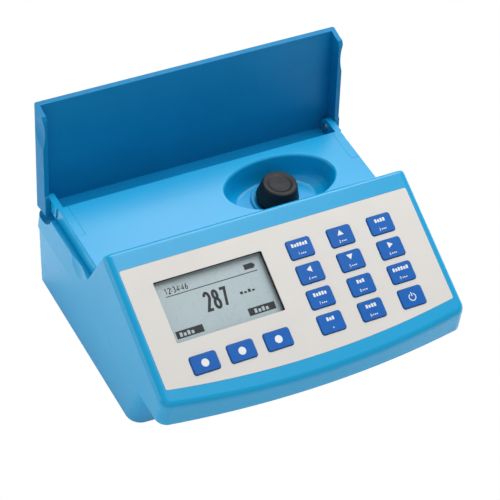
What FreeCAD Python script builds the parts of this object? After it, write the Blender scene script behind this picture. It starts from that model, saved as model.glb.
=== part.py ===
import FreeCAD, Part
import math
import os

# Bench photometer with a hinged lid, a sloping key panel and a round sample vial.
# Millimetres, +Z up, the keys face the user at -Y. Rest pose: the lid stands open.

# Housing
WIDTH = 206.0          # over both side walls, at the seam
DEPTH = 177.0          # front bulge to rear wall
HEIGHT = 97.0          # bench to the top of the crest
WALL = 2.5             # moulded wall
FRONT_BULGE = 8.4      # the front edge bows forward by this much in its middle
REAR_Y = 94.5          # rear wall
FRONT_Y = REAR_Y - DEPTH
ORIGIN_Y = REAR_Y - 80.3   # the frame's origin lies this far behind the housing's own datum
DRAFT = 1.0            # each side wall leans in by this much up to the crest
FOOT_H = 1.5           # feet lift the base off the bench
FLOOR = FOOT_H + WALL  # inside of the base

# Rear deck and ledge
DECK_Z = HEIGHT - 24.1
DECK_HALF = WIDTH / 2 - 4.6
DECK_REAR = REAR_Y - 17.8
LEDGE_Y = REAR_Y - 68.0     # foot of the crest's rear face, at the side ledge
LEDGE_Z = DECK_Z - 9.2      # the closed lid's rim hangs just over this ledge
TROUGH_Z = DECK_Z - 14.9    # floor behind the deck, where the lid's tail turns
TROUGH_WALL_Z = TROUGH_Z - 6.0

# Seam between the two shells, and the lower shell
SEAM_REAR = LEDGE_Z - 18.2
SEAM_FRONT = SEAM_REAR - 4.5
SEAM_BACK_Y = LEDGE_Y - 23.5    # the seam drops between these two places
SEAM_FRONT_Y = LEDGE_Y - 46.5
SEAM_STEP = 0.25       # the lower shell stands in by this much at the seam
BASE_IN_X = 3.3        # lower shell: how far its foot stands in from the seam
BASE_REAR_IN = 4.0
BASE_FRONT_Y = FRONT_Y + 39.5   # the front wall of the lower shell stands far back
BASE_TOP_FRONT_Y = FRONT_Y + 26.5

# Control panel
SLOPE = 24.9           # degrees
PANEL_Y = LEDGE_Y - 15.7    # where the panel's slope measure starts
PANEL_Z = HEIGHT - 0.1
CREST_BACK = 66.3      # slope of the crest's rear face, degrees
EDGE_ROUND = 4.6       # rounding along the panel's side and front edges
CREST_ROUND = 2.2

# Keypad, in panel measures: across, down the slope, out of it. Its layout keeps
# its proportions over the printed sheet.
SHEET = 0.6            # printed front sheet
SHEET_HALF = WIDTH / 2 - 5.9
SHEET_TOP = 10.7
SHEET_LOW = (PANEL_Y - FRONT_Y) / math.cos(math.radians(SLOPE)) - 10.56
ACROSS = SHEET_HALF / 97.1
DOWN = SHEET_LOW / 92.3
KEY = (16.2 * ACROSS, 11.8 * DOWN)
KEY_AT = (15.15 * ACROSS, 28.4 * DOWN)
KEY_PITCH = (27.98 * ACROSS, 16.07 * DOWN)
SOFT_KEY = (17.0 * ACROSS, 11.0 * DOWN)
SOFT_AT = (-68.8 * ACROSS, 76.5 * DOWN)
SOFT_PITCH = 24.09 * ACROSS
KEY_ROUND = 1.6
KEY_GAP = 0.35
KEY_PROUD = 0.9
KEY_EDGE = 0.4         # bevel round a key's face
KEY_TRAVEL = 0.5
KEY_FLANGE = 1.0       # the key's foot is this much larger all round
WINDOW = (-80.2 * ACROSS, -8.9 * ACROSS, 22.8 * DOWN, 61.0 * DOWN)
BOARD_TOP = -6.0       # top of the main board, under the panel face
BOARD_T = 1.6
BOARD_HALF = SHEET_HALF - 2.1
BOARD_V = (10.5 * DOWN, 87.5 * DOWN)
MAT_EDGE = 3.0         # the rubber mat reaches this far past the keys
MAT_T = 0.8
DOME_R = (4.2, 3.2)
FRAME_EDGE = (4.5, 3.0)     # the display's frame reaches this far past the window
FRAME_LIP = 0.5

# Lid
LID_TOP = DECK_Z + 3.6      # closed
LID_HALF = WIDTH / 2 - 0.3
LID_T = 2.7
LID_SIDE_T = 3.0
LID_RIM = 12.2         # depth of the side rims
LID_TAIL = 13.2        # depth of the rear rim and of the lobes round the pins
LID_OPEN = 101.8       # degrees from closed to the rest pose
LID_GAP = 0.55         # to the crest's rear face
HINGE = (REAR_Y - 6.5, DECK_Z - 5.9)        # y and z of the pin line
EAR = (DECK_HALF - 3.4, DECK_HALF + 0.9)    # across: inner and outer face of the hinge ears
EAR_R = 5.5
LOBE_ROOM = 12.2       # round hollow in the trough's ends for the lid's lobes
PIN_R = 1.5
PIN_FIT = 0.05
PIN_HEAD = (2.6, 1.0)  # radius, thickness
BLOCK_X = DECK_HALF - 6.2
BLOCK_Y = DECK_REAR - 24.8
BLOCK_H = 8.0
SEAM_LINE = 0.15       # visible joint round the hinge blocks

# Vial well and vial
WELL = (39.5, REAR_Y - 44.9)
WELL_RIM = (37.9, 21.2)
WELL_MID = (34.6, 19.2)
WELL_LOW = (32.2, 18.4)
WELL_FLOOR = (27.0, 17.2)
WELL_MID_UP = 6.0
WELL_EDGE = 0.7        # bevel of the rim
WELL_FLOOR_Z = DECK_Z - 16.9
HOLDER_R = 15.0
HOLDER_FLANGE_R = 16.2
HOLDER_FLANGE_T = 1.4
HOLDER_FIT = 0.1
CAP_TOP = DECK_Z - 1.5
CAP_LOW = CAP_TOP - 14.4
CAP_R = (12.1, 13.5, 10.7)   # foot, widest place, top
VIAL_R = 12.3
VIAL_FIT = 0.2
VIAL_BOTTOM = 5.8
VIAL_LENGTH = CAP_TOP - 5.9 - VIAL_BOTTOM
SHOULDER_H = 2.6       # slope from the vial's body to its neck
GLASS_T = 1.2
NECK_R = 9.6
STOPPER_LIP = 1.2

# Optics round the vial. Places across are measured from the vial's axis.
OPTICS_X = (-45.5, 35.5)
OPTICS_HALF = 19.0
OPTICS_Z = (12.0, WELL_FLOOR_Z - 10.0)
OPTICS_LEG = (5.5, 4.5, 3.0)    # in from the ends, in from the sides, radius
LIGHT_Z = OPTICS_Z[0] + 18.0    # height of the light path
LIGHT_R = 5.0
LAMP_BOARD = 15.0               # half its side
LAMP_R = 1.9
LAMP_L = 4.6
LAMP_RING = 4.6
FILTER_X = -35.9
FILTER_R = 8.2
FILTER_T = 1.9
SPLITTER_X = -24.5
SPLITTER_HALF = 5.2
SPLITTER_T = 1.0
LENS_X = -20.3
LENS_CURVE = 9.0
DETECTOR = (4.6, 8.0)           # radius, length
DETECTOR_BOARD = 12.0           # half its side
REFERENCE = (4.2, 7.0)
REFERENCE_BOARD = 9.0           # half its side

# Battery cradle on the floor: its inside, and the battery's height
BATTERY = (19.0 - WIDTH / 2, -18.0, WELL[1] - 45.6, WELL[1] + 0.4)
BATTERY_H = 11.0
CRADLE_T = 1.8
CRADLE_H = 7.0

# Sockets on a small board at the rear: name, place across, width, height, depth
PORTS = (("usb_port", -55.0, 14.4, 7.0, 14.0), ("micro_usb_port", -35.0, 8.2, 3.4, 7.0),
         ("electrode_jack", -18.0, 8.6, 8.6, 14.0))
PORT_Z = 14.6
PORT_SET = 0.6         # the sockets' faces stand this far in from the rear wall
PORT_BOARD = (-70.0, -8.5, REAR_Y - 30.5, REAR_Y - 10.0)
JACK_BODY = (REAR_Y - 16.5, REAR_Y - 8.5)

# Fixings
SCREW_R = 1.5
HEAD_R = 2.9
SCREW_SEAT = SEAM_FRONT - 7.0      # height at which the case screws' heads bear
SCREW_LENGTH = 14.5
POST_R = 4.6
POST_ROOM = 0.6
POSTS = ((WIDTH / 2 - 12.0, FRONT_Y + 56.5), (WIDTH / 2 - 12.0, REAR_Y - 10.5))
FEET = ((WIDTH / 2 - 21.0, BASE_FRONT_Y + 10.0), (WIDTH / 2 - 23.0, REAR_Y - 20.5))
FOOT_R = 6.5
FOOT_SINK = 1.2        # the feet are set this far into the base

V = FreeCAD.Vector
TAN = math.tan(math.radians(SLOPE))
COS = math.cos(math.radians(SLOPE))
BACK = math.tan(math.radians(CREST_BACK))


def box(x0, x1, y0, y1, z0, z1):
    return Part.makeBox(x1 - x0, y1 - y0, z1 - z0, V(x0, y0, z0))


def rod(x, y, z, r, h, axis=V(0, 0, 1)):
    return Part.makeCylinder(r, h, V(x, y, z), axis)


def prism_x(points, x0, x1):
    wire = Part.makePolygon([V(x0, y, z) for y, z in points + points[:1]])
    return Part.Face(wire).extrude(V(x1 - x0, 0, 0))


def union(shapes):
    out = shapes[0]
    if len(shapes) > 1:
        out = out.multiFuse(shapes[1:])
    return out.removeSplitter()


def cut(shape, tools):
    return shape.cut(tools) if tools else shape


def on_panel(shape):
    """Turn a shape made in panel measures (across, up the slope, outward) into place."""
    out = shape.copy()
    out.rotate(V(0, 0, 0), V(1, 0, 0), SLOPE)
    out.translate(V(0, PANEL_Y, PANEL_Z))
    return out


def pad(u, v, wide, high, w0, w1, r):
    """A plate with rounded corners, centred at u across and v down the slope."""
    out = Part.makeBox(wide, high, w1 - w0, V(u - wide / 2, -v - high / 2, w0))
    if r:
        upright = [e for e in out.Edges if abs(e.tangentAt(e.FirstParameter).z) > 0.9]
        out = out.makeFillet(r, upright)
    return out


def keys():
    """Name, place and size of every key: three below the display, twelve in a block."""
    out = []
    for i in range(3):
        out.append(("soft_key_%d" % (i + 1), SOFT_AT[0] + i * SOFT_PITCH, SOFT_AT[1], SOFT_KEY))
    names = ["key_%d" % n for n in range(1, 10)] + ["key_point", "key_0", "power_key"]
    for n, name in enumerate(names):
        out.append((name, KEY_AT[0] + n % 3 * KEY_PITCH[0], KEY_AT[1] + n // 3 * KEY_PITCH[1], KEY))
    return out


def panel_z(y, down=0.0):
    return PANEL_Z + (y - PANEL_Y) * TAN - down / COS


def crest_z(y, inward=0.0):
    edge = LEDGE_Y - inward / math.sin(math.radians(CREST_BACK))
    return LEDGE_Z + (edge - y) * BACK


def crest(inward=0.0):
    """Where the panel plane and the crest's rear plane meet."""
    y = (crest_z(0, inward) - panel_z(0, inward)) / (TAN + BACK)
    return (y, panel_z(y, inward))


def plan_wire(z, half, front, rear, bulge):
    """Outline seen from above: straight sides and rear, a bowed front."""
    a = V(-half, front + bulge, z)
    b = V(half, front + bulge, z)
    c = V(half, rear, z)
    d = V(-half, rear, z)
    bow = Part.Arc(a, V(0, front, z), b).toShape()
    sides = [Part.makeLine(b, c), Part.makeLine(c, d), Part.makeLine(d, a)]
    return Part.Wire([bow] + sides)


def upright_edges(shape, y_from, y_to):
    out = []
    for e in shape.Edges:
        b = e.BoundBox
        if b.ZLength > 30 and b.XLength < 8 and y_from < b.YMin and b.YMax < y_to:
            out.append(e)
    return out


def plan_body(z0, z1, low, high, front_r, rear_r):
    body = Part.makeLoft([plan_wire(z0, *low), plan_wire(z1, *high)], True, True)
    split = (low[1] + low[2]) / 2
    body = body.makeFillet(front_r, upright_edges(body, -500, split))
    return body.makeFillet(rear_r, upright_edges(body, split, 500))


def below_seam():
    high = WIDTH
    points = [(-high, -1), (-high, SEAM_FRONT), (SEAM_FRONT_Y, SEAM_FRONT),
              (SEAM_BACK_Y, SEAM_REAR), (high, SEAM_REAR), (high, -1)]
    return prism_x(points, -high, high)


def round_edges(body):
    """Round the panel's side and front edges, then the crest."""
    side = []
    for e in body.Edges:
        b = e.BoundBox
        mid = e.valueAt((e.FirstParameter + e.LastParameter) / 2)
        on_slope = abs(mid.z - panel_z(mid.y)) < 0.05 and b.ZMax < crest()[1] + 0.1
        if on_slope and b.YMax < crest()[0] + 0.1 and b.YMin < PANEL_Y - 5:
            side.append(e)
    body = body.makeFillet(EDGE_ROUND, side)
    top = []
    for e in body.Edges:
        b = e.BoundBox
        if b.XLength > 100 and b.YLength < 0.5 and abs(b.ZMax - crest()[1]) < 0.1:
            top.append(e)
    return body.makeFillet(CREST_ROUND, top)


def top_outer():
    half = WIDTH / 2
    plan = plan_body(SEAM_FRONT - 1, HEIGHT + 2, (half, FRONT_Y, REAR_Y, FRONT_BULGE),
                     (half - DRAFT, FRONT_Y + DRAFT, REAR_Y, FRONT_BULGE), 7.0, 4.0)
    y_c, z_c = crest()
    wedge = [(FRONT_Y - 10, SEAM_FRONT), (SEAM_FRONT_Y, SEAM_FRONT), (SEAM_BACK_Y, SEAM_REAR),
             (LEDGE_Y + 3, SEAM_REAR), (LEDGE_Y + 3, LEDGE_Z), (LEDGE_Y, LEDGE_Z), (y_c, z_c),
             (FRONT_Y - 10, panel_z(FRONT_Y - 10))]
    hump = prism_x(wedge, -half - 5, half + 5).common(plan)
    hump = round_edges(hump)
    ledge = box(-half - 5, half + 5, LEDGE_Y + 1, REAR_Y + 5, SEAM_REAR, LEDGE_Z).common(plan)
    deck = box(-DECK_HALF, DECK_HALF, LEDGE_Y - 14.5, DECK_REAR, SEAM_REAR + 5, DECK_Z)
    upright = [e for e in deck.Edges if e.BoundBox.XLength < 0.1 and e.BoundBox.YMax > DECK_REAR - 1]
    return hump, ledge, deck.makeFillet(1.0, [e for e in upright if e.BoundBox.ZMin > DECK_Z - 0.1])


def well_loft(grow, floor_z, top_z):
    rings = []
    heights = (floor_z, floor_z + WELL_MID_UP / 2, floor_z + WELL_MID_UP, top_z)
    for z, size in zip(heights, (WELL_FLOOR, WELL_LOW, WELL_MID, WELL_RIM)):
        ring = Part.Ellipse(V(0, 0, 0), size[0] + grow, size[1] + grow).toShape()
        ring.translate(V(WELL[0], WELL[1], z))
        rings.append(Part.Wire([ring]))
    return Part.makeLoft(rings, True, True)


def well_outside():
    return well_loft(WALL, WELL_FLOOR_Z - WALL, DECK_Z + 0.01)


def well_cup():
    """Oval cup set flush into the deck, with a hole in its floor for the collar."""
    body = well_outside().common(box(-WIDTH, WIDTH, LEDGE_Y - WALL, DECK_REAR + WALL, 0, DECK_Z))
    hole = rod(WELL[0], WELL[1], OPTICS_Z[1], HOLDER_R + HOLDER_FIT, DECK_Z - OPTICS_Z[1])
    body = cut(body, [well_loft(0.0, WELL_FLOOR_Z, DECK_Z + 0.01), hole])
    rim = [e for e in body.Edges if e.BoundBox.ZMin > DECK_Z - 0.05
           and abs(e.BoundBox.XLength - 2 * WELL_RIM[0]) < 1.0]
    return body.makeChamfer(WELL_EDGE, rim)


def top_cavity():
    half = WIDTH / 2 - WALL
    y_c, z_c = crest(WALL)
    low = SEAM_FRONT - 5
    wall_y = BASE_TOP_FRONT_Y + WALL
    ledge_in = LEDGE_Z - WALL
    front = FRONT_Y + WALL
    foot_y = LEDGE_Y - (ledge_in - LEDGE_Z + WALL / math.cos(math.radians(CREST_BACK))) / BACK
    deep = [(front - 5, SEAM_FRONT + WALL), (front - 5, panel_z(front - 5, WALL)), (y_c, z_c),
            (foot_y, ledge_in), (DECK_REAR - WALL, ledge_in), (DECK_REAR - WALL, TROUGH_Z - WALL),
            (REAR_Y - WALL, TROUGH_Z - WALL), (REAR_Y - WALL, low), (wall_y, low),
            (wall_y, SEAM_FRONT + WALL)]
    body = prism_x(deep, -half, half)
    plan = plan_body(low - 1, HEIGHT, (half, front, REAR_Y - WALL, FRONT_BULGE),
                     (half - DRAFT, front + DRAFT, REAR_Y - WALL, FRONT_BULGE), 5.0, 2.0)
    body = body.common(plan)
    deck = box(-DECK_HALF + WALL, DECK_HALF - WALL, LEDGE_Y - 7.5, DECK_REAR - WALL, ledge_in - 4,
               DECK_Z - WALL)
    body = union([body, deck])
    keep = []
    for s in (-1, 1):
        x0, x1 = sorted((s * (BLOCK_X - WALL), s * (DECK_HALF + 4)))
        keep.append(box(x0, x1, BLOCK_Y - WALL, DECK_REAR, DECK_Z - BLOCK_H - WALL, DECK_Z))
        x0, x1 = sorted((s * (EAR[0] - WALL), s * WIDTH / 2))
        keep.append(box(x0, x1, DECK_REAR - WALL - 2, REAR_Y, TROUGH_WALL_Z, DECK_Z))
    return cut(body, keep)


def bosses_top():
    """Screw bosses under the trough and the panel, and board bosses behind the panel."""
    out = []
    for s in (-1, 1):
        for x, y in POSTS:
            z0 = SEAM_FRONT if y < 0 else SEAM_REAR
            z1 = panel_z(y - POST_R, 1.0) if y < 0 else TROUGH_Z - 1.0
            out.append(rod(s * x, y, z0, POST_R, z1 - z0))
    for u, v in board_bosses():
        out.append(on_panel(Part.makeCylinder(3.2, -BOARD_TOP - 1.5, V(u, -v, BOARD_TOP))))
    return out


def board_bosses():
    u = POSTS[0][0]
    return [(-u, 14.5 * DOWN), (-u, 76.0 * DOWN), (u - 3.0, 14.5 * DOWN), (u, 80.0 * DOWN)]


def top_ribs():
    """Stiffening ribs under the deck, clear of the well."""
    out = []
    x0 = -DECK_HALF + WALL - 0.5
    x1 = WELL[0] - WELL_RIM[0] - WALL - 5.0
    z1 = DECK_Z - WALL + 0.5
    for x in (0.7 * x0, 0.45 * x0, 0.2 * x0):
        out.append(box(x - 0.8, x + 0.8, LEDGE_Y + 3.5, DECK_REAR - WALL + 0.5, DECK_Z - 8.0, z1))
    for y in (LEDGE_Y + 13.5, LEDGE_Y + 33.5):
        out.append(box(x0, x1, y - 0.8, y + 0.8, DECK_Z - 6.0, z1))
    return out


def panel_openings():
    """The sheet's recess, the display window and a hole for every key."""
    out = [sheet_blank(0.0, -SHEET)]
    u0, u1, v0, v1 = WINDOW
    out.append(pad((u0 + u1) / 2, (v0 + v1) / 2, u1 - u0 + 1.8, v1 - v0 + 1.8, -8, 1, 0.8))
    for name, u, v, size in keys():
        out.append(pad(u, v, size[0] + 2 * KEY_GAP, size[1] + 2 * KEY_GAP, -8, 1, KEY_ROUND + KEY_GAP))
    return [on_panel(s) for s in out]


def sheet_blank(w1, w0, gap=0.0):
    """Outline of the printed sheet: square at the top, bowed along its lower edge."""
    half = SHEET_HALF - gap
    low = SHEET_LOW - gap
    drop = low - half * half / 1256.0
    a = V(-half, -SHEET_TOP - gap, w0)
    b = V(half, -SHEET_TOP - gap, w0)
    c = V(half, -drop, w0)
    d = V(-half, -drop, w0)
    bow = Part.Arc(c, V(0, -low, w0), d).toShape()
    wire = Part.Wire([Part.makeLine(a, b), Part.makeLine(b, c), bow, Part.makeLine(d, a)])
    body = Part.Face(wire).extrude(V(0, 0, w1 - w0))
    corners = [e for e in body.Edges if abs(e.tangentAt(e.FirstParameter).z) > 0.9]
    return body.makeFillet(1.2, corners)


def finger_scoops():
    """Shallow finger dips in both sides, half in the lid's rim and half in the wall below."""
    r = 34.0
    out = []
    for s in (-1, 1):
        out.append(Part.makeSphere(r, V(s * (WIDTH / 2 + r - 1.7), LEDGE_Y + 11.0, LEDGE_Z + 1.2)))
    return out


def top_housing():
    hump, ledge, deck = top_outer()
    body = union([hump, ledge, deck])
    trough = box(-EAR[1] - 0.4, EAR[1] + 0.4, DECK_REAR, REAR_Y + 5, TROUGH_Z, DECK_Z + 10)
    behind = box(-WIDTH, WIDTH, DECK_REAR, REAR_Y + 30, 0, HEIGHT + 30)
    sockets = [rod(s * (EAR[0] - 0.5), HINGE[0], HINGE[1], LOBE_ROOM, 15, V(s, 0, 0)) for s in (-1, 1)]
    sockets = [s.common(behind) for s in sockets]
    body = cut(body, [trough] + sockets + finger_scoops())
    body = cut(body, [top_cavity()])
    inside = [s.common(hollow_space()) for s in bosses_top()]
    body = union([body] + inside + top_ribs())
    blocks = []
    for s in (-1, 1):
        x0, x1 = sorted((s * (BLOCK_X - SEAM_LINE), s * (DECK_HALF + 5)))
        blocks.append(box(x0, x1, BLOCK_Y - SEAM_LINE, DECK_REAR + 5, DECK_Z - BLOCK_H, DECK_Z + 5))
    body = cut(body, blocks + [well_outside()] + panel_openings())
    drills = []
    for s in (-1, 1):
        for x, y in POSTS:
            z0 = SEAM_FRONT if y < 0 else SEAM_REAR
            drills.append(rod(s * x, y, z0 - 1, SCREW_R, 11.0))
    for u, v in board_bosses():
        drills.append(on_panel(Part.makeCylinder(1.0, 4.0, V(u, -v, BOARD_TOP - 0.5))))
    return cut(body, drills)


def hollow_space():
    """Everything under the outer skin, used to trim bosses that would poke through it."""
    half = WIDTH / 2
    y_c, z_c = crest(1.0)
    low = SEAM_FRONT - 11.0
    points = [(FRONT_Y, SEAM_FRONT), (FRONT_Y, panel_z(FRONT_Y, 1.0)), (y_c, z_c), (LEDGE_Y - 1, LEDGE_Z - 1),
              (REAR_Y - 1, LEDGE_Z - 1), (REAR_Y - 1, low), (SEAM_BACK_Y, low), (SEAM_FRONT_Y, SEAM_FRONT)]
    return prism_x(points, -half + 1.5, half - 1.5)


def base_plan(z, grow):
    """Size of the lower shell's outline at height z; grow is negative for the inside."""
    t = (z - FOOT_H) / (SEAM_REAR + 1.0 - FOOT_H)
    half = WIDTH / 2 - SEAM_STEP - BASE_IN_X * (1 - t) + grow
    front = BASE_FRONT_Y + (BASE_TOP_FRONT_Y - BASE_FRONT_Y) * t - grow
    rear = REAR_Y - SEAM_STEP - BASE_REAR_IN * (1 - t) + grow
    return (half, front, rear, 3.0)


def base_body(grow, z0, z1, front_r, rear_r):
    return plan_body(z0, z1, base_plan(z0, grow), base_plan(z1, grow), front_r, rear_r)


def port_front(z):
    return base_plan(z, 0.0)[2]


def bottom_housing():
    outer = base_body(0.0, FOOT_H, SEAM_REAR + 1.0, 9.0, 5.0)
    foot = [e for e in outer.Edges if abs(e.BoundBox.ZMax - FOOT_H) < 0.01]
    outer = outer.makeChamfer(0.8, foot)
    inner = base_body(-WALL, FLOOR, SEAM_REAR + 2.0, 6.5, 2.5)
    body = cut(outer, [inner])
    adds = []
    for s in (-1, 1):
        for x, y in POSTS:
            adds.append(rod(s * x, y, FOOT_H + 1, POST_R, SEAM_REAR))
    for x, y in port_bosses():
        adds.append(rod(x, y, FOOT_H + 1, 3.0, PORT_Z - BOARD_T - FOOT_H - 1))
    for x0, x1, y0, y1 in battery_walls():
        adds.append(box(x0, x1, y0, y1, FOOT_H + 1, FLOOR + CRADLE_H))
    ring = rod(WELL[0], WELL[1], FOOT_H + 1, HOLDER_R + 3.0, 6.0)
    adds.append(cut(ring, [rod(WELL[0], WELL[1], 0, HOLDER_R + HOLDER_FIT, 20)]))
    body = union([body] + adds).common(below_seam())
    cuts = []
    for s in (-1, 1):
        for x, y in POSTS:
            cuts.append(rod(s * x, y, 0, SCREW_R + 0.2, 60))
            cuts.append(rod(s * x, y, 0, HEAD_R + 0.4, SCREW_SEAT))
        for x, y in FEET:
            cuts.append(rod(s * x, y, 0, FOOT_R + 0.1, FOOT_H + FOOT_SINK))
    for x, y in port_bosses():
        cuts.append(rod(x, y, FOOT_H + 2, 1.0, 20))
    y0, y1 = JACK_BODY[0] + 2, REAR_Y + 5
    for name, x, wide, high, deep in PORTS:
        if name == "electrode_jack":
            cuts.append(rod(x, y0, PORT_Z + high / 2, 3.6, y1 - y0, V(0, 1, 0)))
        else:
            half = wide / 2 + 0.3
            cuts.append(box(x - half, x + half, y0, y1, PORT_Z - 0.3, PORT_Z + high + 0.3))
    return cut(body, cuts)


def port_bosses():
    y = PORT_BOARD[2] + 4.0
    return [(PORT_BOARD[0] + 4.0, y), (PORT_BOARD[1] - 4.0, y)]


def battery_walls():
    x0, x1, y0, y1 = BATTERY
    t = CRADLE_T
    ends = [(x0 - t, x0, y0 - t, y1 + t), (x1, x1 + t, y0 - t, y1 + t)]
    return ends + [(x0, x1, y0 - t, y0), (x0, x1, y1, y1 + t)]


def key(u, v, size):
    cap = pad(u, v, size[0], size[1], -3.2, KEY_PROUD, KEY_ROUND)
    rim = [e for e in cap.Edges if abs(e.BoundBox.ZMin - KEY_PROUD) < 0.01]
    cap = cap.makeChamfer(KEY_EDGE, rim)
    wide = size[0] + 2 * KEY_FLANGE
    high = size[1] + 2 * KEY_FLANGE
    foot = pad(u, v, wide, high, -3.8, -2.9, KEY_ROUND)
    return on_panel(union([cap, foot]))


def keypad_overlay():
    sheet = sheet_blank(0.0, -SHEET, 0.12)
    u0, u1, v0, v1 = WINDOW
    holes = [pad((u0 + u1) / 2, (v0 + v1) / 2, u1 - u0, v1 - v0, -2, 1, 0.8)]
    for name, u, v, size in keys():
        holes.append(pad(u, v, size[0] + 2 * KEY_GAP, size[1] + 2 * KEY_GAP, -2, 1, KEY_ROUND + KEY_GAP))
    return on_panel(cut(sheet, holes))


def keypad_mat():
    """Rubber mat under the keys, with a low dome under each, lying on the main board."""
    gap = -3.8 - KEY_TRAVEL - 0.35
    top = BOARD_TOP + MAT_T
    wide = 2 * KEY_PITCH[0] + KEY[0] + 2 * MAT_EDGE
    high = 3 * KEY_PITCH[1] + KEY[1] + 2 * MAT_EDGE
    block = pad(KEY_AT[0] + KEY_PITCH[0], KEY_AT[1] + 1.5 * KEY_PITCH[1], wide, high, BOARD_TOP, top, 2.0)
    wide = 2 * SOFT_PITCH + SOFT_KEY[0] + 2 * MAT_EDGE
    row = pad(SOFT_AT[0] + SOFT_PITCH, SOFT_AT[1], wide, SOFT_KEY[1] + 2 * MAT_EDGE, BOARD_TOP, top, 2.0)
    u0 = SOFT_AT[0] + 2 * SOFT_PITCH + SOFT_KEY[0] / 2
    u1 = KEY_AT[0] - KEY[0] / 2
    link = pad((u0 + u1) / 2, SOFT_AT[1], u1 - u0, SOFT_KEY[1] - MAT_EDGE, BOARD_TOP, top, 0)
    domes = []
    for name, u, v, size in keys():
        domes.append(Part.makeCone(DOME_R[0], DOME_R[1], gap - top, V(u, -v, top)))
    return on_panel(union([block, row, link] + domes))


def display_parts():
    """Frame with a dark collar that lines the window, the pane and the module."""
    u0, u1, v0, v1 = WINDOW
    u, v = (u0 + u1) / 2, (v0 + v1) / 2
    wide, high = u1 - u0, v1 - v0
    out_u, out_v = FRAME_EDGE
    under = -WALL - 0.05
    lip = under - FRAME_LIP
    floor = BOARD_TOP + 1.0
    frame = pad(u, v, wide + 2 * out_u, high + 2 * out_v, BOARD_TOP, under, 1.5)
    collar = pad(u, v, wide + 1.6, high + 1.6, under - 0.1, -SHEET - 0.05, 0.8)
    pocket = pad(u, v, wide + out_u, high + out_v, floor, lip, 1.0)
    sight = pad(u, v, wide, high, floor, 1, 0.8)
    glass = pad(u, v, wide + out_u - 0.2, high + out_v - 0.2, lip - 0.8, lip, 0.9)
    module = pad(u, v, wide + out_u - 0.2, high + out_v - 0.2, floor, lip - 0.85, 0.9)
    return (on_panel(cut(union([frame, collar]), [pocket, sight])), on_panel(glass), on_panel(module))


def main_board():
    """Board behind the panel, with bites for the front case posts."""
    under = BOARD_TOP - BOARD_T
    v0, v1 = BOARD_V
    board = pad(0, (v0 + v1) / 2, 2 * BOARD_HALF, v1 - v0, under, BOARD_TOP, 2.0)
    holes = [Part.makeCylinder(1.25, 6, V(u, -v, BOARD_TOP - 3)) for u, v in board_bosses()]
    chips = []
    for u, v, wide, high, thick in ((-0.62, 0.40, 12.0, 12.0, 1.4), (-0.36, 0.42, 7.0, 9.0, 1.2),
                                    (0.31, 0.63, 9.0, 9.0, 1.2), (-0.15, 0.63, 16.0, 5.0, 4.0)):
        place = v0 + v * (v1 - v0)
        chips.append(pad(u * BOARD_HALF, place, wide, high, under - thick, under, 0))
    body = on_panel(union([cut(board, holes)] + chips))
    x, y = POSTS[0]
    return cut(body, [rod(s * x, y, SEAM_FRONT, POST_R + POST_ROOM, HEIGHT) for s in (-1, 1)])


def pan_screw(length, shank=1.0, head=2.1, thick=1.3):
    """Pan head screw, shank up along +Z from the head's seat at z = 0."""
    body = union([rod(0, 0, 0, shank, length), rod(0, 0, -thick, head, thick)])
    edge = [e for e in body.Edges if abs(e.BoundBox.ZMax + thick) < 0.01]
    body = body.makeChamfer(thick * 0.35, edge)
    slots = [box(-head * 0.55, head * 0.55, -0.25, 0.25, -thick - 1, -thick * 0.45),
             box(-0.25, 0.25, -head * 0.55, head * 0.55, -thick - 1, -thick * 0.45)]
    return cut(body, slots)


def board_screws():
    out = []
    for u, v in board_bosses():
        screw = pan_screw(BOARD_T + 3.0, 1.0, 2.1, 1.3)
        screw.translate(V(u, -v, BOARD_TOP - BOARD_T))
        out.append(on_panel(screw))
    return out


def hinge_block(s):
    """Insert in the deck's rear corner: a flush block with an ear that carries the pin."""
    y, z = HINGE
    x0, x1 = sorted((s * BLOCK_X, s * DECK_HALF))
    block = box(x0, x1, BLOCK_Y, DECK_REAR - 0.05, DECK_Z - BLOCK_H, DECK_Z)
    outer = [e for e in block.Edges if abs(e.BoundBox.XMin - s * DECK_HALF) < 0.01
             and abs(e.BoundBox.XMax - s * DECK_HALF) < 0.01 and e.BoundBox.ZMin > DECK_Z - 0.1]
    block = block.makeFillet(0.9, outer)
    x0, x1 = sorted((s * EAR[0], s * EAR[1]))
    inner = sorted((s * EAR[0], s * DECK_HALF))
    web = box(inner[0], inner[1], DECK_REAR - 6, y, z - 2.0, z + EAR_R)
    arm = box(x0, x1, DECK_REAR + 0.3, y, z - 2.0, z + EAR_R)
    knuckle = rod(x0, y, z, EAR_R, x1 - x0, V(1, 0, 0))
    body = union([block, web, arm, knuckle])
    return cut(body, [rod(x0 - 5, y, z, PIN_R, 20, V(1, 0, 0))])


def hinge_pin(s):
    y, z = HINGE
    pin = rod(s * EAR[0], y, z, PIN_R, LID_HALF - 1.0 - EAR[0], V(s, 0, 0))
    head = rod(s * (EAR[0] - PIN_HEAD[1]), y, z, PIN_HEAD[0], PIN_HEAD[1], V(s, 0, 0))
    return union([head, pin])


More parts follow.
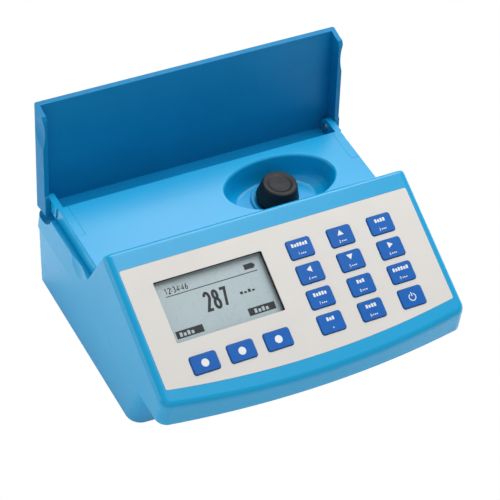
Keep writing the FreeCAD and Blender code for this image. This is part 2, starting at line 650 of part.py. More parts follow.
def lid_closed():
    y, z = HINGE
    front = LEDGE_Y - (LID_TOP - LEDGE_Z) / BACK + LID_GAP
    slant = 7.5
    front_low = front + slant / BACK
    low = LID_TOP - LID_RIM
    tail = LID_TOP - LID_TAIL
    profile = [(REAR_Y, LID_TOP), (REAR_Y, tail), (y - 6.5, tail), (y - 7.5, low), (front_low + 4.0, low),
               (front_low + 1.0, low + 1.4), (front_low, LID_TOP - slant), (front, LID_TOP)]
    body = prism_x(profile, -LID_HALF, LID_HALF)
    outer = []
    for e in body.Edges:
        b = e.BoundBox
        on_top = b.ZMin > LID_TOP - 0.01
        side = b.XLength < 0.01 and on_top
        rear = on_top and b.YMin > REAR_Y - 0.01
        corner = b.XLength < 0.01 and b.YMin > REAR_Y - 0.01
        if side or rear or corner:
            outer.append(e)
    body = body.makeFillet(1.4, outer)
    inner_half = LID_HALF - LID_SIDE_T
    hollow = box(-inner_half, inner_half, 0, REAR_Y - LID_T, 0, LID_TOP - LID_T)
    slots = []
    for s in (-1, 1):
        x0, x1 = sorted((s * (EAR[0] - 0.6), s * inner_half))
        slots.append(box(x0, x1, DECK_REAR - 6.5, REAR_Y + 1, 0, LID_TOP - LID_T - 0.6))
        slots.append(rod(s * (inner_half - 1), y, z, PIN_R + PIN_FIT, LID_SIDE_T + 0.2, V(s, 0, 0)))
    return cut(body, [hollow] + slots + finger_scoops())


def lid():
    y, z = HINGE
    out = lid_closed()
    out.rotate(V(0, y, z), V(1, 0, 0), -LID_OPEN)
    return out


def cuvette_holder():
    x, y = WELL
    bore = VIAL_R + VIAL_FIT
    floor = VIAL_BOTTOM - 0.3
    tube = rod(x, y, FLOOR, HOLDER_R, WELL_FLOOR_Z - FLOOR)
    flange = rod(x, y, WELL_FLOOR_Z, HOLDER_FLANGE_R, HOLDER_FLANGE_T)
    edge = [e for e in flange.Edges if e.BoundBox.ZMin > WELL_FLOOR_Z + 1.0]
    flange = flange.makeChamfer(0.4, edge)
    body = union([tube, flange])
    path = rod(x - 20, y, LIGHT_Z, LIGHT_R - 1.0, 40, V(1, 0, 0))
    cap_room = rod(x, y, WELL_FLOOR_Z + 0.6, CAP_R[1] + 0.7, 5)
    return cut(body, [rod(x, y, floor, bore, DECK_Z), cap_room, path])


def turned(points):
    """A solid turned round the vial's axis from radius and height pairs."""
    face = Part.Face(Part.makePolygon([V(r, 0, z) for r, z in points + points[:1]]))
    out = face.revolve(V(0, 0, 0), V(0, 0, 1), 360)
    out.translate(V(WELL[0], WELL[1], 0))
    return out


def vial_top():
    return VIAL_BOTTOM + VIAL_LENGTH


def cuvette():
    z0 = VIAL_BOTTOM
    r = VIAL_R
    shoulder = CAP_LOW - SHOULDER_H - 0.3
    t = GLASS_T
    outline = [(0, z0 + 0.6), (3.0, z0 + 0.3), (r - 1.2, z0), (r, z0 + 1.2), (r, shoulder),
               (NECK_R, shoulder + SHOULDER_H),
               (NECK_R, vial_top()), (NECK_R - t, vial_top()), (NECK_R - t, shoulder + SHOULDER_H - 0.4),
               (r - t, shoulder - 0.4), (r - t, z0 + 2.2), (r - t - 1.0, z0 + 1.6), (0, z0 + 1.8)]
    return turned(outline)


def stopper():
    top = vial_top()
    r = NECK_R - GLASS_T
    return turned([(0, top - 4.0), (r - 1.2, top - 4.0), (r, top - 3.0), (r, top), (NECK_R, top),
                   (NECK_R, top + STOPPER_LIP), (0, top + STOPPER_LIP)])


def cuvette_cap():
    """Screw cap: waisted foot, flared grip, dished top with a low dome."""
    top = CAP_TOP
    foot, wide, neck = CAP_R
    under = vial_top() + STOPPER_LIP
    inner = NECK_R + 0.1
    outline = [(foot, CAP_LOW), (wide, CAP_LOW + 3.9), (wide - 0.25, CAP_LOW + 5.0), (neck + 0.55, top - 1.4),
               (neck + 0.1, top - 0.35), (neck - 0.5, top), (neck - 2.6, top), (neck - 4.2, top - 0.55),
               (3.0, top - 0.45), (0, top - 0.3), (0, under + 0.02), (inner, under + 0.02), (inner, CAP_LOW)]
    return turned(outline)


def along(x, r, length):
    """A rod on the light path, from x measured from the vial's axis."""
    return rod(WELL[0] + x, WELL[1], LIGHT_Z, r, length, V(1, 0, 0))


def around_path(x0, x1, half):
    """A box centred on the light path, square in section."""
    y, z = WELL[1], LIGHT_Z
    return box(WELL[0] + x0, WELL[0] + x1, y - half, y + half, z - half, z + half)


def optics_block():
    x, y = WELL
    x0, x1 = OPTICS_X
    body = box(x + x0, x + x1, y - OPTICS_HALF, y + OPTICS_HALF, *OPTICS_Z)
    corners = [e for e in body.Edges if e.BoundBox.ZLength > 0.9 * (OPTICS_Z[1] - OPTICS_Z[0])]
    body = body.makeFillet(2.0, corners)
    cuts = [rod(x, y, 0, HOLDER_R + HOLDER_FIT, DECK_Z), along(x0 - 1, LIGHT_R, x1 - x0 + 2)]
    cuts.append(around_path(x0 - 1, FILTER_X - 0.1, LAMP_BOARD - 2.0))
    cuts.append(rod(x + SPLITTER_X, y, LIGHT_Z, REFERENCE[0], OPTICS_HALF + 1, V(0, 1, 0)))
    cuts.append(around_path(SPLITTER_X - 4.2, LENS_X, SPLITTER_HALF))
    cuts.append(along(FILTER_X, FILTER_R, 2 * FILTER_T))
    in_x, in_y, r = OPTICS_LEG
    legs = []
    for lx in (x + x0 + in_x, x + x1 - in_x):
        for ly in (y - OPTICS_HALF + in_y, y + OPTICS_HALF - in_y):
            legs.append(rod(lx, ly, FLOOR, r, OPTICS_Z[0] + 1.0 - FLOOR))
    return cut(union([body] + legs), cuts)


def lamps():
    """Five lamps in a ring, each a flanged cylinder with a tapered tip."""
    x, y = WELL[0] + OPTICS_X[0], WELL[1]
    out = []
    for cy, cz in lamp_places():
        stem = rod(x, cy, cz, LAMP_R, LAMP_L, V(1, 0, 0))
        base = rod(x, cy, cz, LAMP_R + 0.4, 1.0, V(1, 0, 0))
        tip = Part.makeCone(LAMP_R, 0.5 * LAMP_R, 0.8 * LAMP_R, V(x + LAMP_L, cy, cz), V(1, 0, 0))
        out.append(union([stem, base, tip]))
    return out


def lamp_places():
    turns = [math.radians(90 + 72 * k) for k in range(5)]
    return [(WELL[1] + LAMP_RING * math.cos(a), LIGHT_Z + LAMP_RING * math.sin(a)) for a in turns]


def optics():
    """Lamp board, lamps, filters, beam splitter, lens and the two detectors."""
    x, y = WELL
    x0, x1 = OPTICS_X
    discs = [rod(x + FILTER_X, cy, cz, LAMP_R - 0.2, FILTER_T, V(1, 0, 0)) for cy, cz in lamp_places()]
    stand = box(-SPLITTER_T / 2, SPLITTER_T / 2, -5.1, 5.1, -SPLITTER_HALF, SPLITTER_HALF)
    stand.rotate(V(0, 0, 0), V(0, 0, 1), -45)
    stand.translate(V(x + SPLITTER_X, y, LIGHT_Z))
    bulge = Part.makeSphere(LENS_CURVE, V(x + LENS_X - LENS_CURVE + 3.5, y, LIGHT_Z))
    bulge = bulge.common(along(LENS_X + 1.0, LIGHT_R - 0.1, 6))
    r, length = DETECTOR
    can = union([along(x1 - length, r, length), along(x1 - 1.0, r + 0.4, 1.0)])
    r, length = REFERENCE
    eye = rod(x + SPLITTER_X, y + OPTICS_HALF - length, LIGHT_Z, r, length, V(0, 1, 0))
    half = REFERENCE_BOARD
    eye_board = box(x + SPLITTER_X - half, x + SPLITTER_X + half, y + OPTICS_HALF, y + OPTICS_HALF + BOARD_T,
                    LIGHT_Z - half, LIGHT_Z + half)
    return {"led_board": around_path(x0 - BOARD_T, x0, LAMP_BOARD), "led_lamps": Part.makeCompound(lamps()),
            "filter_holder": cut(along(FILTER_X, FILTER_R - 0.1, FILTER_T), discs),
            "filters": Part.makeCompound(discs),
            "beam_splitter": stand.common(around_path(SPLITTER_X - 4.2, LENS_X, SPLITTER_HALF)),
            "lens": union([along(LENS_X, LIGHT_R, 2.0), bulge]),
            "sample_detector": can, "detector_board": around_path(x1, x1 + BOARD_T, DETECTOR_BOARD),
            "reference_detector": union([eye, eye_board])}


def battery():
    x0, x1, y0, y1 = BATTERY
    body = box(x0 + 0.3, x1 - 0.3, y0 + 0.3, y1 - 0.3, FLOOR, FLOOR + BATTERY_H)
    return body.makeFillet(1.5, [e for e in body.Edges if e.BoundBox.XLength > 0.9 * (x1 - x0)])


def port_parts():
    x0, x1, y0, y1 = PORT_BOARD
    out = {}
    board = box(x0, x1, y0, y1, PORT_Z - BOARD_T, PORT_Z)
    holes = [rod(x, y, PORT_Z - 5, 1.25, 9) for x, y in port_bosses()]
    out["port_board"] = cut(board, holes)
    for name, x, wide, high, deep in PORTS:
        front = port_front(PORT_Z) - PORT_SET
        if name == "electrode_jack":
            back, face = JACK_BODY
            body = box(x - wide / 2, x + wide / 2, back, face, PORT_Z, PORT_Z + high)
            nose = rod(x, face, PORT_Z + high / 2, 3.3, front - face, V(0, 1, 0))
            bore = rod(x, back + 2.0, PORT_Z + high / 2, 1.75, 20, V(0, 1, 0))
            out[name] = cut(union([body, nose]), [bore])
        else:
            body = box(x - wide / 2, x + wide / 2, front - deep, front, PORT_Z, PORT_Z + high)
            mouth = box(x - wide / 2 + 0.5, x + wide / 2 - 0.5, front - deep + 1.5, front + 1,
                        PORT_Z + 0.5, PORT_Z + high - 0.5)
            body = cut(body, [mouth])
            if name == "usb_port":
                tongue = box(x - 5.6, x + 5.6, front - deep + 1.0, front - 1.0, PORT_Z + 3.6, PORT_Z + 5.4)
            else:
                tongue = box(x - 2.2, x + 2.2, front - deep + 1.0, front - 1.0, PORT_Z + 1.3, PORT_Z + 2.0)
            out[name] = union([body, tongue])
    return out


def foot(x, y):
    body = rod(x, y, 0, FOOT_R, FOOT_H + FOOT_SINK)
    edge = [e for e in body.Edges if e.BoundBox.ZMax < 0.01]
    return body.makeChamfer(0.4, edge)


def case_screw(x, y):
    screw = pan_screw(SCREW_LENGTH, SCREW_R, HEAD_R, 2.2)
    screw.translate(V(x, y, SCREW_SEAT))
    return screw


def build():
    out = {"top_housing": top_housing(), "bottom_housing": bottom_housing()}
    out["well_cup"] = well_cup()
    out["keypad_overlay"] = keypad_overlay()
    for name, u, v, size in keys():
        out[name] = key(u, v, size)
    out["keypad_mat"] = keypad_mat()
    out["display_frame"], out["display_glass"], out["display_module"] = display_parts()
    out["main_board"] = main_board()
    for n, screw in enumerate(board_screws()):
        out["board_screw_%d" % (n + 1)] = screw
    for s, side in ((-1, "left"), (1, "right")):
        out["hinge_block_" + side] = hinge_block(s)
        out["hinge_pin_" + side] = hinge_pin(s)
    out["lid"] = lid()
    out["cuvette_holder"] = cuvette_holder()
    out["cuvette"] = cuvette()
    out["stopper"] = stopper()
    out["cuvette_cap"] = cuvette_cap()
    out["optics_block"] = optics_block()
    out.update(optics())
    out["battery"] = battery()
    out.update(port_parts())
    n = 0
    for x, y in FEET:
        for s in (-1, 1):
            n += 1
            out["foot_%d" % n] = foot(s * x, y)
    n = 0
    for x, y in POSTS:
        for s in (-1, 1):
            n += 1
            out["case_screw_%d" % n] = case_screw(s * x, y)
    return out


def main():
    os.makedirs("parts", exist_ok=True)
    for name, shape in build().items():
        shape = shape.copy()
        shape.translate(V(0, -ORIGIN_Y, 0))
        shape.exportStep("parts/%s.step" % name)


main()
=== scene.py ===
import bmesh
import bpy
import math
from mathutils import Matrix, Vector


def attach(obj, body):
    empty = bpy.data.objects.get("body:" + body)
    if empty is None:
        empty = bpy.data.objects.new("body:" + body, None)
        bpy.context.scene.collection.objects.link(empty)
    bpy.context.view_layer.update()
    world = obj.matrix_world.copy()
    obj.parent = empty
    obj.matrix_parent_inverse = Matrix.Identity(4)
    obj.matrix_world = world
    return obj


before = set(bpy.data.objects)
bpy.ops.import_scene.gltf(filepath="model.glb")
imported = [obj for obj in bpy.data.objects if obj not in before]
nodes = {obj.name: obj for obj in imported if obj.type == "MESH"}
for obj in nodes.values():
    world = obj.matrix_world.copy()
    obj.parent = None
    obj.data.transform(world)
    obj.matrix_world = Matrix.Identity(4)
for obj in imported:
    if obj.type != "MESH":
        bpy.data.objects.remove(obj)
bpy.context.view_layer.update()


# Lower shell
# A moulded tub with a fine spark-eroded texture, set in a little at the seam and narrower at the
# foot. It is screwed up into the upper shell from below and stands on four rubber pads.

def fresh(name):
    mat = bpy.data.materials.new(name)
    mat.use_nodes = True
    tree = mat.node_tree
    shader = tree.nodes["Principled BSDF"]
    return mat, tree, shader


def spread(tree, scale, detail, low, high, at_low=0.35, at_high=0.65):
    """Noise over the surface, from one colour to another."""
    place = tree.nodes.new("ShaderNodeTexCoord")
    noise = tree.nodes.new("ShaderNodeTexNoise")
    noise.inputs["Scale"].default_value = scale
    noise.inputs["Detail"].default_value = detail
    ramp = tree.nodes.new("ShaderNodeValToRGB")
    ramp.color_ramp.elements[0].position = at_low
    ramp.color_ramp.elements[1].position = at_high
    ramp.color_ramp.elements[0].color = (*low, 1)
    ramp.color_ramp.elements[1].color = (*high, 1)
    tree.links.new(place.outputs["Object"], noise.inputs["Vector"])
    tree.links.new(noise.outputs["Fac"], ramp.inputs["Fac"])
    return ramp.outputs["Color"]


def grain(tree, shader, scale, depth, strength=0.3):
    """Fine relief, as the tool leaves it on a moulded face."""
    place = tree.nodes.new("ShaderNodeTexCoord")
    noise = tree.nodes.new("ShaderNodeTexNoise")
    noise.inputs["Scale"].default_value = scale
    noise.inputs["Detail"].default_value = 2
    bump = tree.nodes.new("ShaderNodeBump")
    bump.inputs["Strength"].default_value = strength
    bump.inputs["Distance"].default_value = depth
    tree.links.new(place.outputs["Object"], noise.inputs["Vector"])
    tree.links.new(noise.outputs["Fac"], bump.inputs["Height"])
    tree.links.new(bump.outputs["Normal"], shader.inputs["Normal"])
    return bump


def plastic(name, colour, rough, scale=1800, depth=0.00004, change=0.03, specular=0.5, uneven=0.05,
            soften=0.0, below=0.0):
    """Moulded plastic: cloudy colour and gloss, a fine grain, edges softened below a height."""
    mat, tree, shader = fresh(name)
    low = [c * (1 - change) for c in colour]
    high = [min(1.0, c * (1 + change)) for c in colour]
    tree.links.new(spread(tree, 45, 3, low, high), shader.inputs["Base Color"])
    dull = spread(tree, 260, 4, (rough - uneven,) * 3, (rough + uneven,) * 3)
    tree.links.new(dull, shader.inputs["Roughness"])
    shader.inputs["Specular IOR Level"].default_value = specular
    bump = grain(tree, shader, scale, depth)
    if soften:
        bevel = tree.nodes.new("ShaderNodeBevel")
        bevel.samples = 8
        bevel.inputs["Radius"].default_value = soften
        plain = tree.nodes.new("ShaderNodeNewGeometry")
        place = tree.nodes.new("ShaderNodeTexCoord")
        parts = tree.nodes.new("ShaderNodeSeparateXYZ")
        fade = tree.nodes.new("ShaderNodeMapRange")
        fade.inputs["From Min"].default_value = below - 0.0004
        fade.inputs["From Max"].default_value = below
        blend = tree.nodes.new("ShaderNodeMix")
        blend.data_type = "VECTOR"
        tree.links.new(place.outputs["Object"], parts.inputs["Vector"])
        tree.links.new(parts.outputs["Z"], fade.inputs["Value"])
        tree.links.new(fade.outputs["Result"], blend.inputs[0])
        tree.links.new(bevel.outputs["Normal"], blend.inputs[4])
        tree.links.new(plain.outputs["Normal"], blend.inputs[5])
        tree.links.new(blend.outputs[1], bump.inputs["Normal"])
    return mat


def dress(mat, slot, *names):
    """Give CAD nodes their material. The slot is not used."""
    for name in names:
        piece = nodes[name]
        piece.data.materials.clear()
        piece.data.materials.append(mat)


SHELL_FINISH = dict(depth=0.0000025, change=0.012, specular=0.47, uneven=0.003)
SHELL_ROUGH = 0.27
body_blue = plastic("body_blue", (0.001, 0.350, 0.665), SHELL_ROUGH, **SHELL_FINISH)
dress(body_blue, "housing_plastic", "bottom_housing")

pad_rubber = plastic("pad_rubber", (0.020, 0.020, 0.021), 0.75, scale=2600, depth=0.00006, change=0.15)
dress(pad_rubber, "foot_rubber", "foot_1", "foot_2", "foot_3", "foot_4")


# Upper shell
# The same blue plastic. One moulding makes the border round the key sheet, the crest, the side
# ledges and the level deck. The oval well is a cup set into the deck, with softly rounded steps.

dress(body_blue, "housing_plastic", "top_housing")
WELL_SOFT = 0.003
WELL_TOP = 0.0728    # just under the deck, so that only the inside of the well is softened
well_blue = plastic("well_blue", (0.001, 0.360, 0.680), SHELL_ROUGH, soften=WELL_SOFT, below=WELL_TOP,
                    **SHELL_FINISH)
dress(well_blue, "housing_plastic", "well_cup")


# Printed sheet
# A warm grey printed sheet is glued into a shallow recess of the panel. Its matt face has a very
# fine texture.

sheet_grey = plastic("sheet_grey", (0.690, 0.670, 0.640), 0.52, scale=3200, depth=0.00001, change=0.012)
dress(sheet_grey, "overlay_sheet", "keypad_overlay")


# Display
# A reflective liquid crystal module sits in a black frame behind the window. A thin clear pane lies
# over it. The display shows digits, a battery, a line and bars.

SLOPE = math.radians(24.9)
PANEL = Vector((0.0, 0.0108 - 0.0142, 0.0969))
WINDOW = (-80.2, -8.9, 22.8, 61.0)


def on_panel(u, v, w=0.0):
    """A point from panel millimetres: across, down the slope, out of the face."""
    y = -v * math.cos(SLOPE) - w * math.sin(SLOPE)
    z = -v * math.sin(SLOPE) + w * math.cos(SLOPE)
    return PANEL + Vector((u, y, z)) / 1000


def arc(cx, cy, rx, ry, a0, a1, n=14):
    out = []
    for i in range(n + 1):
        a = math.radians(a0 + (a1 - a0) * i / n)
        out.append((cx + rx * math.cos(a), cy + ry * math.sin(a)))
    return out


# Strokes of plain digits in a box one wide and 1.6 high.
DIGITS = {
    "0": [arc(0.5, 0.8, 0.38, 0.74, 90, 450, 24)],
    "1": [[(0.22, 1.25), (0.55, 1.54), (0.55, 0.06)]],
    "2": [arc(0.5, 1.16, 0.37, 0.38, 165, -25, 14) + [(0.14, 0.06), (0.88, 0.06)]],
    "3": [arc(0.46, 1.18, 0.34, 0.36, 150, -90, 12) + arc(0.46, 0.44, 0.40, 0.38, 90, -150, 14)],
    "4": [[(0.68, 0.06), (0.68, 1.54), (0.10, 0.46), (0.92, 0.46)]],
    "5": [[(0.84, 1.54), (0.22, 1.54), (0.18, 0.92)] + arc(0.48, 0.52, 0.38, 0.46, 125, -150, 16)],
    "6": [arc(0.5, 0.48, 0.36, 0.42, 90, 450, 20), [(0.70, 1.54), (0.42, 1.24), (0.16, 0.60)]],
    "7": [[(0.12, 1.54), (0.88, 1.54), (0.42, 0.06)]],
    "8": [arc(0.5, 1.19, 0.31, 0.35, 90, 450, 18), arc(0.5, 0.45, 0.38, 0.39, 90, 450, 20)],
    "9": [arc(0.5, 1.12, 0.36, 0.42, 90, 450, 20), [(0.84, 1.00), (0.58, 0.36), (0.30, 0.06)]],
}


def ribbon(bm, line, half, put):
    """A flat ribbon along a line of panel points, mitred at its corners."""
    rims = []
    for i, p in enumerate(line):
        before = line[max(i - 1, 0)]
        after = line[min(i + 1, len(line) - 1)]
        closed = math.dist(line[0], line[-1]) < 1e-6
        if closed and i in (0, len(line) - 1):
            before, after = line[-2], line[1]
        a = Vector((p[0] - before[0], p[1] - before[1]))
        b = Vector((after[0] - p[0], after[1] - p[1]))
        a = a.normalized() if a.length > 1e-9 else b.normalized()
        b = b.normalized() if b.length > 1e-9 else a
        way = (a + b).normalized() if (a + b).length > 1e-6 else a
        side = Vector((-way.y, way.x))
        reach = half / max(0.5, abs(side.dot(Vector((-a.y, a.x)))))
        rims.append((bm.verts.new(put(p[0] + side.x * reach, p[1] + side.y * reach)),
                     bm.verts.new(put(p[0] - side.x * reach, p[1] - side.y * reach))))
    for (a, b), (c, d) in zip(rims, rims[1:]):
        bm.faces.new((a, b, d, c))


def plate(bm, points, put):
    bm.faces.new([bm.verts.new(put(x, y)) for x, y in points])


def bar(bm, x, y, wide, high, put):
    """A rectangle from its lower left corner."""
    plate(bm, [(x, y), (x + wide, y), (x + wide, y + high), (x, y + high)], put)


def digits(bm, text, x, y, high, wide, half, put):
    """Plain numerals from their lower left corner, x to the right and y up."""
    for sign in text:
        if sign == ":":
            for level in (0.35, 0.75):
                c = y + high * level
                s = half * 1.1
                bar(bm, x - s, c - s, 2 * s, 2 * s, put)
            x += wide * 0.55
            continue
        for line in DIGITS[sign]:
            ribbon(bm, [(x + px * wide, y + py / 1.6 * high) for px, py in line], half, put)
        x += wide * 1.28


def marks(name, bm, mat, thick):
    """Turn the flat marks into a thin raised print."""
    bmesh.ops.recalc_face_normals(bm, faces=bm.faces)
    mesh = bpy.data.meshes.new(name)
    bm.to_mesh(mesh)
    bm.free()
    piece = bpy.data.objects.new(name, mesh)
    bpy.context.scene.collection.objects.link(piece)
    solid = piece.modifiers.new("thickness", "SOLIDIFY")
    solid.thickness = thick
    solid.offset = 0
    mesh.materials.append(mat)
    return piece


screen = plastic("screen", (0.385, 0.485, 0.520), 0.30, scale=1400, depth=0.000004, change=0.02)
dress(screen, "display_face", "display_module")

pane, tree, shader = fresh("pane")
tint = spread(tree, 30, 2, (0.88, 0.92, 0.92), (0.92, 0.95, 0.95))
tree.links.new(tint, shader.inputs["Base Color"])
shader.inputs["Roughness"].default_value = 0.06
shader.inputs["Alpha"].default_value = 0.02
dress(pane, "display_glass", "display_glass")

black_part = plastic("black_part", (0.018, 0.018, 0.019), 0.55, change=0.1)
dress(black_part, "black_plastic", "display_frame")

crystal = plastic("crystal", (0.006, 0.009, 0.011), 0.40, scale=1400, depth=0.000002, change=0.1,
                  specular=0.15)
PRINT_W = -3.875    # the marks lie on the module's face, in the thin gap below the pane
bm = bmesh.new()


def screen_mark(x, y):
    """Window millimetres, from the lower left corner."""
    return on_panel(WINDOW[0] + x, WINDOW[3] - y, PRINT_W)


digits(bm, "12:34:46", 6.2, 30.0, 3.6, 1.75, 0.28, screen_mark)
bar(bm, 5.8, 28.4, 60.4, 0.5, screen_mark)
bar(bm, 58.6, 30.6, 6.4, 3.3, screen_mark)
bar(bm, 65.0, 31.5, 0.8, 1.5, screen_mark)
digits(bm, "287", 27.4, 13.4, 11.4, 4.2, 0.88, screen_mark)
for i, size in enumerate((1.6, 1.1, 1.9, 1.1)):
    bar(bm, 50.2 + i * 2.6, 17.4, 1.8, size, screen_mark)
bar(bm, 3.0, 3.0, 17.6, 4.6, screen_mark)
bar(bm, 50.6, 3.4, 17.6, 4.6, screen_mark)
screen_marks = marks("screen_marks", bm, crystal, 0.00001)
bm = bmesh.new()


def light_mark(x, y):
    """The same, just over the dark bars."""
    return on_panel(WINDOW[0] + x, WINDOW[3] - y, PRINT_W + 0.013)


for left, low in ((5.2, 3.9), (54.4, 4.3)):
    for i, size in enumerate((2.6, 1.9, 2.6, 1.9)):
        bar(bm, left + i * 2.5, low, 1.7, size, light_mark)
light_marks = marks("light_marks", bm, screen, 0.00001)
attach(light_marks, "housing")
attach(screen_marks, "housing")


# Keys
# Hard plastic key caps, a strong blue, stand just proud of the sheet. White marks are printed on
# them: arrows, a power symbol, dots, plain numerals and rows of short bars.

key_blue = plastic("key_blue", (0.001, 0.112, 0.450), 0.34, scale=2400, depth=0.00001, specular=0.25)
white_ink = plastic("white_ink", (0.800, 0.810, 0.830), 0.50, scale=4000, depth=0.000004)
FACE_W = 0.9 + 0.012    # the print lies just over the key's face, 0.9 mm above the panel

soft_keys = ["soft_key_1", "soft_key_2", "soft_key_3"]
pad_keys = ["key_%d" % n for n in range(1, 10)] + ["key_point", "key_0", "power_key"]
dress(key_blue, "key_plastic", *soft_keys, *pad_keys)

TOP_MARKS = {"key_2": "up", "key_4": "left", "key_5": "down", "key_6": "right"}
BAR_COUNTS = {"key_1": 6, "key_3": 4, "key_7": 5, "key_8": 3, "key_9": 6, "key_point": 3, "key_0": 4}
ARROWS = {"up": [(-2.1, 0), (2.1, 0), (0, 3.3)], "down": [(-2.1, 3.3), (0, 0), (2.1, 3.3)],
          "left": [(-1.9, 1.7), (1.4, -0.3), (1.4, 3.7)], "right": [(1.9, 1.7), (-1.4, -0.3), (-1.4, 3.7)]}


def key_marks(name, u, v):
    """The white print of one key, round its centre in panel millimetres."""
    def put(x, y):
        return on_panel(u + x, v - y, FACE_W)
    bm = bmesh.new()
    if name in soft_keys:
        plate(bm, arc(0, 0, 2.4, 2.4, 0, 345, 23), put)
    elif name == "power_key":
        ribbon(bm, arc(0, -0.2, 2.2, 2.2, 118, 422, 28), 0.28, put)
        ribbon(bm, [(0, 0.3), (0, 2.9)], 0.28, put)
    else:
        if name in TOP_MARKS:
            plate(bm, [(x, y + 0.6) for x, y in ARROWS[TOP_MARKS[name]]], put)
        else:
            count = BAR_COUNTS[name]
            start = -(count * 1.85 - 0.5) / 2
            for i in range(count):
                x = start + i * 1.85
                tall = 2.2 if i % 3 != 1 else 1.8
                bar(bm, x, 1.4, 1.35, tall, put)
        sign = name[-1]
        if name == "key_point":
            plate(bm, arc(0, -3.2, 0.42, 0.42, 0, 330, 11), put)
        else:
            digits(bm, sign, -2.6, -4.0, 1.75, 0.95, 0.13, put)
            for i in range(3):
                x = -0.9 + i * 1.25
                bar(bm, x, -3.6, 0.75, 0.7, put)
    piece = marks(name + "_print", bm, white_ink, 0.00002)
    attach(piece, name)


SOFT_AT = (-68.8, 76.5)
SOFT_PITCH = 24.09
PAD_AT = (15.15, 28.4)
PAD_PITCH = (27.98, 16.07)
for i, name in enumerate(soft_keys):
    key_marks(name, SOFT_AT[0] + SOFT_PITCH * i, SOFT_AT[1])
for i, name in enumerate(pad_keys):
    key_marks(name, PAD_AT[0] + PAD_PITCH[0] * (i % 3), PAD_AT[1] + PAD_PITCH[1] * (i // 3))


# Deck inserts and hinge pins
# Two blocks of the same blue plastic sit flush in the deck's rear corners. Each has an ear that
# holds a bright steel pin, on which the lid turns.

dress(body_blue, "housing_plastic", "hinge_block_left", "hinge_block_right")

steel, tree, shader = fresh("steel")
bright = spread(tree, 900, 3, (0.48, 0.49, 0.51), (0.62, 0.63, 0.65))
tree.links.new(bright, shader.inputs["Base Color"])
shader.inputs["Metallic"].default_value = 1.0
shader.inputs["Roughness"].default_value = 0.32
grain(tree, shader, 3000, 0.000006, 0.2)
dress(steel, "steel", "hinge_pin_left", "hinge_pin_right")

# A fine chamfer makes the joint lines round the inserts show, as on the real ones.
JOINT_CHAMFER = 0.00025
for side in ("left", "right"):
    edge = nodes["hinge_block_" + side].modifiers.new("edge", "BEVEL")
    edge.width = JOINT_CHAMFER
    edge.segments = 2
    edge.limit_method = "ANGLE"
    edge.angle_limit = math.radians(60)


# Lid
# A shallow tray of the body's plastic, moulded in one piece with lobes that take the pins. It stands
# open, leaning back. Its blue is painted darker than the body's, as painted shade on the inner face.

# The lid colour is the body blue darkened: painted shade for the inner face that leans back.
lid_painted_shade = plastic("lid_painted_shade", (0.001, 0.215, 0.470), 0.48, specular=0.18)
dress(lid_painted_shade, "lid_plastic", "lid")


# Vial, collar and cap
# The collar is blue like the deck. The glass vial stands in it with a soft white stopper and a
# black screw cap, waisted at the foot and dished on top.

dress(body_blue, "holder_plastic", "cuvette_holder")

vial, tree, shader = fresh("vial")
clear = spread(tree, 20, 1, (0.90, 0.96, 0.96), (0.96, 0.99, 0.98))
tree.links.new(clear, shader.inputs["Base Color"])
shader.inputs["Roughness"].default_value = 0.03
shader.inputs["Alpha"].default_value = 0.14
dress(vial, "vial_glass", "cuvette")

stopper = plastic("stopper", (0.720, 0.735, 0.735), 0.55, scale=2000, depth=0.00001)
dress(stopper, "stopper_plastic", "stopper")
cap_black = plastic("cap_black", (0.012, 0.012, 0.014), 0.50, scale=2200, depth=0.00002, change=0.15,
                    specular=0.30)
dress(cap_black, "cap_plastic", "cuvette_cap")


# Inside
# Boards, battery and the light path. None of it shows from outside, but each piece has its own
# finish, as when the case is opened.

board_green = plastic("board_green", (0.018, 0.110, 0.045), 0.30, scale=700, depth=0.00001, change=0.12)
dress(board_green, "circuit_board", "main_board", "port_board", "led_board", "detector_board",
      "reference_detector")
mat_grey = plastic("mat_grey", (0.520, 0.530, 0.530), 0.70, scale=1500, depth=0.00002)
dress(mat_grey, "mat_rubber", "keypad_mat")
dress(black_part, "black_plastic", "optics_block", "filter_holder")

wrap = plastic("wrap", (0.030, 0.033, 0.040), 0.22, scale=300, depth=0.00003, change=0.12)
dress(wrap, "battery_wrap", "battery")
lamp = plastic("lamp", (0.780, 0.780, 0.760), 0.12, scale=900, depth=0.000004)
dress(lamp, "lamp_plastic", "led_lamps")

optic, tree, shader = fresh("optic")
tree.links.new(spread(tree, 25, 1, (0.93, 0.97, 0.97), (0.97, 0.99, 0.99)), shader.inputs["Base Color"])
shader.inputs["Roughness"].default_value = 0.02
shader.inputs["Alpha"].default_value = 0.30
dress(optic, "optical_glass", "lens", "beam_splitter")

coated, tree, shader = fresh("coated")
tree.links.new(spread(tree, 600, 2, (0.55, 0.16, 0.26), (0.70, 0.28, 0.36)), shader.inputs["Base Color"])
shader.inputs["Roughness"].default_value = 0.04
shader.inputs["Alpha"].default_value = 0.65
dress(coated, "filter_glass", "filters")


# Sockets, detector can and screws
# Nickelled socket shells and a black jack stand on a small board at the rear. The screws are zinc
# plated.

dress(steel, "steel", "usb_port", "micro_usb_port", "sample_detector")
dress(steel, "steel", *["board_screw_%d" % n for n in range(1, 5)])
dress(steel, "steel", *["case_screw_%d" % n for n in range(1, 5)])
jack = plastic("jack", (0.016, 0.016, 0.017), 0.45, change=0.12)
dress(jack, "jack_plastic", "electrode_jack")


# Floor, light and camera
# A plain white sweep. One wide lamp above and behind on the right lights the deck, and a weaker
# one fills from the left. The camera stands where the photograph's did.

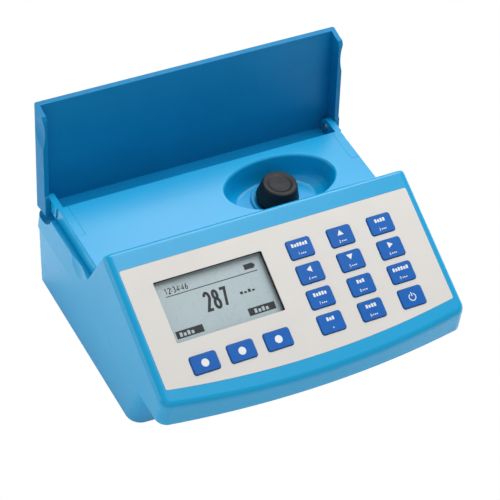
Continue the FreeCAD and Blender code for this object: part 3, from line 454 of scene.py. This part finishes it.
mesh = bpy.data.meshes.new("floor")
mesh.from_pydata([(-6, -6, 0), (6, -6, 0), (6, 6, 0), (-6, 6, 0)], [], [(0, 1, 2, 3)])
floor = bpy.data.objects.new("floor", mesh)
bpy.context.scene.collection.objects.link(floor)
white, tree, shader = fresh("floor_white")
tree.links.new(spread(tree, 3, 2, (0.93, 0.93, 0.93), (0.96, 0.96, 0.96)), shader.inputs["Base Color"])
shader.inputs["Roughness"].default_value = 0.8
shader.inputs["Emission Color"].default_value = (1, 1, 1, 1)
shader.inputs["Emission Strength"].default_value = 0.15
path = tree.nodes.new("ShaderNodeLightPath")
glow = tree.nodes.new("ShaderNodeEmission")
glow.inputs["Color"].default_value = (1, 1, 1, 1)
pick = tree.nodes.new("ShaderNodeMixShader")
tree.links.new(path.outputs["Is Camera Ray"], pick.inputs["Fac"])
tree.links.new(shader.outputs["BSDF"], pick.inputs[1])
tree.links.new(glow.outputs["Emission"], pick.inputs[2])
tree.links.new(pick.outputs["Shader"], tree.nodes["Material Output"].inputs["Surface"])
mesh.materials.append(white)

world = bpy.data.worlds.new("studio")
bpy.context.scene.world = world
world.use_nodes = True
tree = world.node_tree
sky = tree.nodes["Background"]
sky.inputs["Color"].default_value = (1, 1, 1, 1)
sky.inputs["Strength"].default_value = 0.38


def lamp_at(name, place, aim, size, power):
    data = bpy.data.lights.new(name, "AREA")
    data.shape = "RECTANGLE"
    data.size, data.size_y = size
    data.energy = power
    light = bpy.data.objects.new(name, data)
    bpy.context.scene.collection.objects.link(light)
    light.location = place
    light.rotation_mode = "QUATERNION"
    light.rotation_quaternion = (Vector(aim) - Vector(place)).to_track_quat("-Z", "Y")


lamp_at("lamp_top", (0.50, 0.36, 1.30), (0.0, 0.0, 0.06), (1.1, 1.08), 19)
lamp_at("lamp_front", (-0.60, -1.20, 0.90), (0.0, 0.0, 0.05), (0.8, 0.8), 1.2)
lamp_at("lamp_left", (-1.40, 0.50, 0.40), (-0.1, 0.0, 0.05), (1.0, 0.6), 5)

data = bpy.data.cameras.new("camera")
data.lens = 158.47
data.sensor_width = 36
data.clip_start = 0.05
camera = bpy.data.objects.new("camera", data)
bpy.context.scene.collection.objects.link(camera)
camera.location = (-0.55071, -0.75609, 0.99903)
camera.rotation_euler = (0.7753679, -0.1314850, -0.4971659)
bpy.context.scene.camera = camera
bpy.context.scene.view_settings.view_transform = "Standard"
